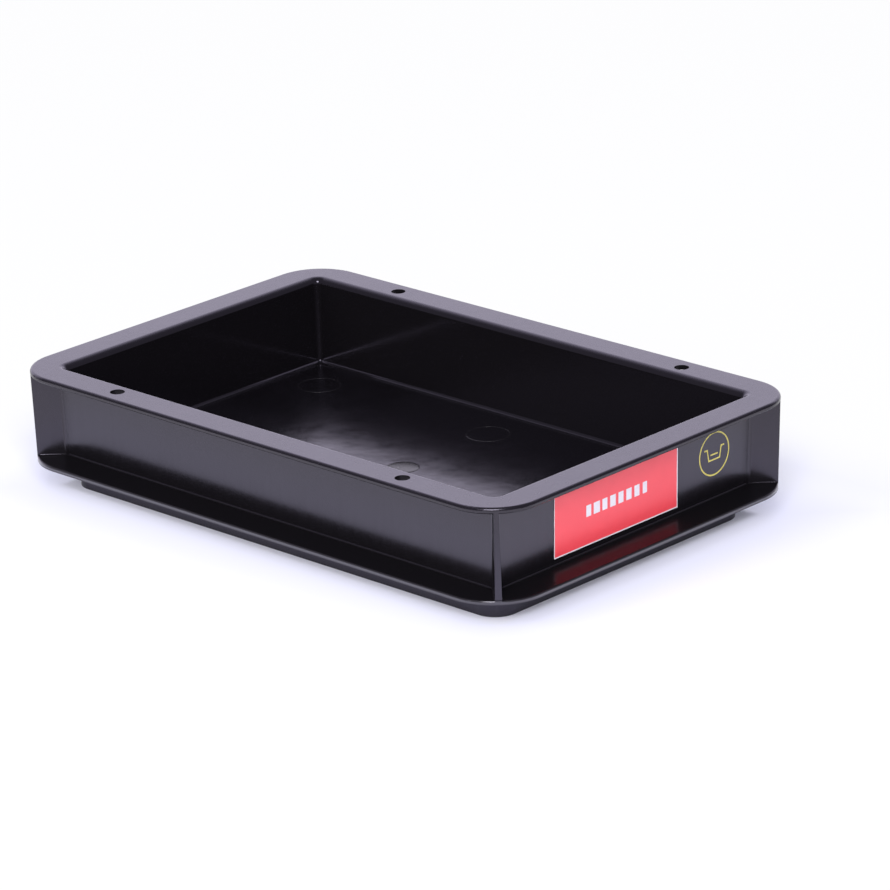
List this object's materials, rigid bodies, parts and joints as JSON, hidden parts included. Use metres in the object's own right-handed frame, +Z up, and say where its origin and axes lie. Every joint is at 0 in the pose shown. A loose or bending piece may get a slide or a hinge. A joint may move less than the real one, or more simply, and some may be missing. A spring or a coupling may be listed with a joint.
{
  "type": "esd storage tray",
  "caption": "Shallow rectangular tray of conductive plastic with a flat flanged rim, recessed drafted walls, a lower ledge, diagonal corner ribs and a nesting foot ring.",
  "frame": {"origin": "on the surface that the tray stands on, under the middle of its foot ring", "axes": "+X along the length towards the labelled end, +Y along the width, +Z up"},
  "size_m": [0.3, 0.2, 0.057],
  "materials": {
    "tray_plastic": "satin, carbon-filled",
    "label_film": "printed film, semi-gloss"
  },
  "bodies": {
    "root": {"tray": "tray_plastic", "end_label": "label_film"}
  },
  "joints": []
}
